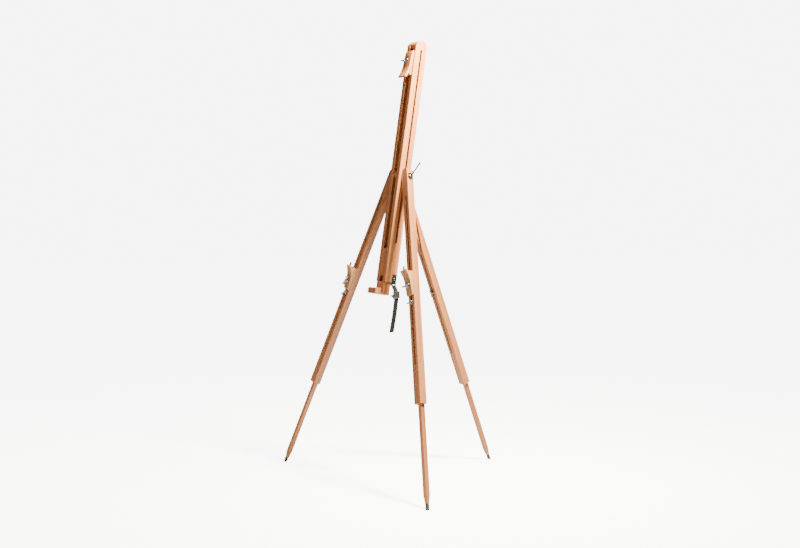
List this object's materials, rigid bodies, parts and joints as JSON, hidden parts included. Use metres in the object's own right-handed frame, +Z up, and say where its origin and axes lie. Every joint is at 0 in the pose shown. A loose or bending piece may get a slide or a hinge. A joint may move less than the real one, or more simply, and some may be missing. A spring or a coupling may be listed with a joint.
{
  "type": "tripod artist easel",
  "caption": "Wooden tripod easel: slotted mast with clamp and ledge on telescopic legs with wing-nut locks, leg brackets and one lever clamp.",
  "frame": {"origin": "on the floor, in the middle of the easel's box", "axes": "+Z up, front of the easel toward -Y, +X to the right-hand leg as seen from behind the front; metres"},
  "size_m": [0.9436, 0.711, 1.6692],
  "materials": {
    "oiled_wood": "oiled beech, fine straight grain",
    "end_wood": "oiled beech, darker",
    "plated_steel": "zinc-plated, satin",
    "peg_steel": "dull grey",
    "foot_rubber": "matt",
    "strap_webbing": "woven webbing, matt"
  },
  "bodies": {
    "head": {"main_bolt": "plated_steel", "bolt_cap": "plated_steel"},
    "main_clamp": {"clamp_hub": "plated_steel", "clamp_lever": "plated_steel"},
    "tilt_washers": {"washer_left": "plated_steel", "washer_right": "plated_steel"},
    "mast": {"cheek_left": "oiled_wood", "cheek_right": "oiled_wood", "top_block": "end_wood", "bottom_block": "end_wood", "ledge": "oiled_wood", "ledge_bolt": "plated_steel", "strap_end": "strap_webbing", "strap_buckle": "plated_steel", "strap_return": "strap_webbing", "strap_tail": "strap_webbing"},
    "canvas_clamp": {"top_clamp": "oiled_wood", "top_clamp_bolt": "plated_steel", "top_clamp_plate": "end_wood"},
    "canvas_clamp_nut": {"top_clamp_nut": "plated_steel"},
    "right_pivot": {"right_barrel": "plated_steel"},
    "right_upper": {"right_leg": "oiled_wood", "right_leg_pin": "end_wood"},
    "right_lower": {"right_stick": "oiled_wood", "right_foot": "foot_rubber", "right_lock_bolt": "plated_steel"},
    "right_lock": {"right_lock_nut": "plated_steel"},
    "right_holder": {"right_bracket": "oiled_wood", "right_bracket_bolt": "plated_steel", "right_bracket_plate": "plated_steel", "right_bracket_peg": "peg_steel"},
    "right_holder_nut": {"right_bracket_nut": "plated_steel"},
    "left_pivot": {"left_barrel": "plated_steel"},
    "left_upper": {"left_leg": "oiled_wood", "left_leg_pin": "end_wood"},
    "left_lower": {"left_stick": "oiled_wood", "left_foot": "foot_rubber", "left_lock_bolt": "plated_steel"},
    "left_lock": {"left_lock_nut": "plated_steel"},
    "left_holder": {"left_bracket": "oiled_wood", "left_bracket_bolt": "plated_steel", "left_bracket_plate": "plated_steel", "left_bracket_peg": "peg_steel"},
    "left_holder_nut": {"left_bracket_nut": "plated_steel"},
    "rear_upper": {"rear_leg": "oiled_wood"},
    "rear_lower": {"rear_stick": "oiled_wood", "rear_foot": "foot_rubber", "rear_lock_bolt": "plated_steel"},
    "rear_lock": {"rear_lock_nut": "plated_steel"}
  },
  "joints": [
    {"name": "clamp_lever_turn", "type": "hinge", "parent": "head", "child": "main_clamp", "pos_m": [0, -0.1095, 1.143], "axis": [1, 0, 0], "range_deg": [0, 100]},
    {"name": "mast_tilt", "type": "hinge", "parent": "head", "child": "tilt_washers", "pos_m": [0, -0.1095, 1.143], "axis": [-1, 0, 0], "range_deg": [-9.4, 79]},
    {"name": "mast_height", "type": "slide", "parent": "tilt_washers", "child": "mast", "axis": [0, 0.1633, 0.9866], "range_m": [-0.3, 0.2]},
    {"name": "canvas_clamp_slide", "type": "slide", "parent": "mast", "child": "canvas_clamp", "axis": [0, 0.1633, 0.9866], "range_m": [-0.33, 0]},
    {"name": "canvas_clamp_nut_turn", "type": "hinge", "parent": "canvas_clamp", "child": "canvas_clamp_nut", "pos_m": [0, -0.07645, 1.59061], "axis": [0, -0.9866, 0.1633], "continuous": true},
    {"name": "right_leg_swing", "type": "hinge", "parent": "head", "child": "right_pivot", "pos_m": [0.0474, -0.1095, 1.143], "axis": [1, 0, 0], "range_deg": [0, 12]},
    {"name": "right_leg_fold", "type": "hinge", "parent": "right_pivot", "child": "right_upper", "pos_m": [0.0474, -0.1095, 1.143], "axis": [0, 0.9788, -0.2047], "range_deg": [0, 17]},
    {"name": "right_leg_length", "type": "slide", "parent": "right_upper", "child": "right_lower", "axis": [0.3367, -0.1927, -0.9217], "range_m": [-0.32, 0.22]},
    {"name": "right_lock_nut_turn", "type": "hinge", "parent": "right_lower", "child": "right_lock", "pos_m": [0.21779, -0.2217, 0.67971], "axis": [0, -0.9788, 0.2047], "continuous": true},
    {"name": "right_holder_slide", "type": "slide", "parent": "right_lower", "child": "right_holder", "axis": [-0.3367, 0.1927, 0.9217], "range_m": [0, 0.33]},
    {"name": "right_holder_nut_turn", "type": "hinge", "parent": "right_holder", "child": "right_holder_nut", "pos_m": [0.19725, -0.22267, 0.73859], "axis": [0, -0.9788, 0.2047], "continuous": true},
    {"name": "left_leg_swing", "type": "hinge", "parent": "head", "child": "left_pivot", "pos_m": [-0.0474, -0.1095, 1.143], "axis": [1, 0, 0], "range_deg": [0, 12]},
    {"name": "left_leg_fold", "type": "hinge", "parent": "left_pivot", "child": "left_upper", "pos_m": [-0.0474, -0.1095, 1.143], "axis": [0, -0.9788, 0.2047], "range_deg": [0, 17]},
    {"name": "left_leg_length", "type": "slide", "parent": "left_upper", "child": "left_lower", "axis": [-0.3367, -0.1927, -0.9217], "range_m": [-0.32, 0.22]},
    {"name": "left_lock_nut_turn", "type": "hinge", "parent": "left_lower", "child": "left_lock", "pos_m": [-0.21105, -0.21784, 0.69814], "axis": [0, -0.9788, 0.2047], "continuous": true},
    {"name": "left_holder_slide", "type": "slide", "parent": "left_lower", "child": "left_holder", "axis": [0.3367, 0.1927, 0.9217], "range_m": [0, 0.33]},
    {"name": "left_holder_nut_turn", "type": "hinge", "parent": "left_holder", "child": "left_holder_nut", "pos_m": [-0.19422, -0.22093, 0.74688], "axis": [0, -0.9788, 0.2047], "continuous": true},
    {"name": "rear_leg_fold", "type": "hinge", "parent": "head", "child": "rear_upper", "pos_m": [0, -0.1095, 1.143], "axis": [-1, 0, 0], "range_deg": [0, 21]},
    {"name": "rear_leg_length", "type": "slide", "parent": "rear_upper", "child": "rear_lower", "axis": [0, 0.372, -0.9283], "range_m": [-0.14, 0.22]},
    {"name": "rear_lock_nut_turn", "type": "hinge", "parent": "rear_lower", "child": "rear_lock", "pos_m": [0, 0.05251, 0.69836], "axis": [0, -0.9283, -0.372], "continuous": true}
  ]
}
